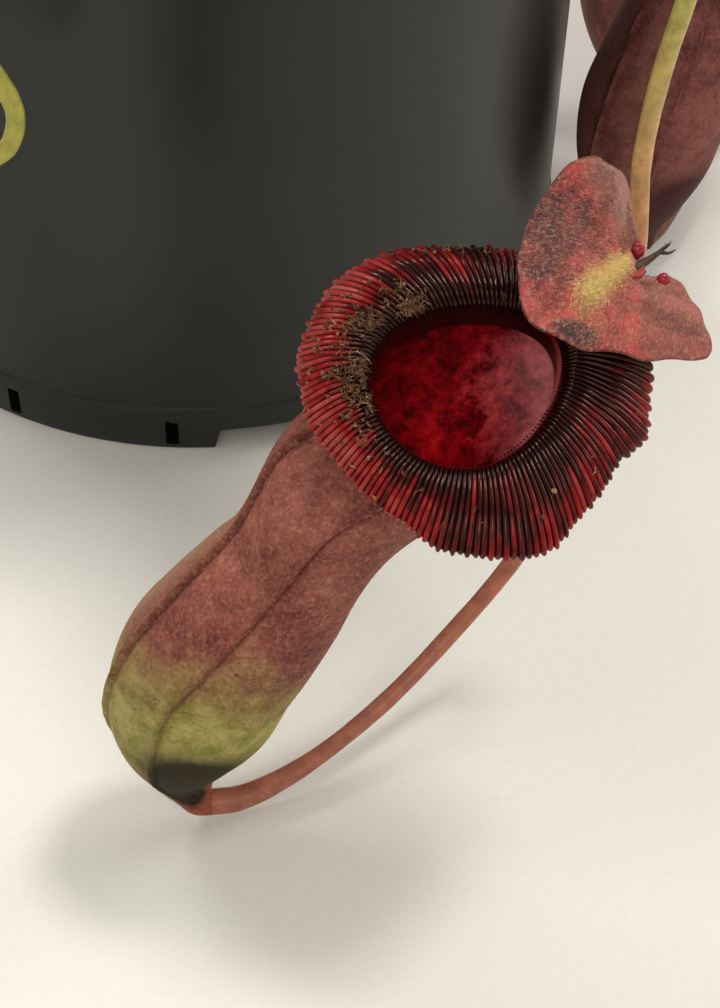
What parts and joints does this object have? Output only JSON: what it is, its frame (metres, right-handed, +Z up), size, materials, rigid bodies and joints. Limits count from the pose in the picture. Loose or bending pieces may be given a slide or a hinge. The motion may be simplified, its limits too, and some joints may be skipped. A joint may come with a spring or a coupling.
{
  "type": "potted_pitcher_plant",
  "caption": "Potted tropical pitcher plant: strap leaves on a short stem run on as tendrils to hanging hollow cups with a ribbed lip and a lid, in a round nursery pot",
  "frame": {"origin": "middle of the underside of the pot, on the surface that it stands on", "axes": "+Z up; -Y towards the large front pitcher, +X to its right as the pot is looked at from the front"},
  "size_m": [0.3132, 0.35, 0.2661],
  "materials": {
    "pot_plastic": "moulded dark charcoal plastic, fine matte grain",
    "growing_mix": "damp bark, peat and moss mix",
    "stem_green": "satin plant stem with leaf scars",
    "leaf_green": "leathery leaf with a light cuticle gloss",
    "tendril_tan": "smooth satin tendril, green-yellow to tan to red-brown",
    "young_green": "satin yellow-green young growth",
    "cup_skin": "dusty pink-brown downy skin, olive near the foot",
    "lip_red": "waxy ribbed lip, deep red to maroon, glossy",
    "lid_rose": "downy rose-brown lid with pale fuzz"
  },
  "bodies": {
    "root": {"pot": "pot_plastic", "growing_mix": "growing_mix", "stem": "stem_green", "leaf_front_right": "leaf_green", "leaf_back": "leaf_green", "leaf_front_left": "leaf_green", "leaf_right": "leaf_green", "leaf_back_left": "leaf_green", "leaf_front": "leaf_green", "leaf_back_right": "leaf_green", "leaf_left": "leaf_green", "leaf_young": "young_green", "pitcher_front_cup": "cup_skin", "pitcher_front_lip": "lip_red", "pitcher_front_lid": "lid_rose", "pitcher_front_tendril": "tendril_tan", "pitcher_right_cup": "cup_skin", "pitcher_right_lip": "lip_red", "pitcher_right_lid": "lid_rose", "pitcher_right_tendril": "tendril_tan", "pitcher_back_right_cup": "cup_skin", "pitcher_back_right_lip": "lip_red", "pitcher_back_right_lid": "lid_rose", "pitcher_back_right_tendril": "tendril_tan", "pitcher_back_left_cup": "cup_skin", "pitcher_back_left_lip": "lip_red", "pitcher_back_left_lid": "lid_rose", "pitcher_back_left_tendril": "tendril_tan", "pitcher_left_cup": "cup_skin", "pitcher_left_lip": "lip_red", "pitcher_left_lid": "lid_rose", "pitcher_left_tendril": "tendril_tan", "young_tendril_front_left": "young_green", "young_tendril_back": "young_green", "young_tendril_front": "young_green", "young_pitcher_front_left": "young_green", "young_pitcher_back": "young_green"}
  },
  "joints": []
}
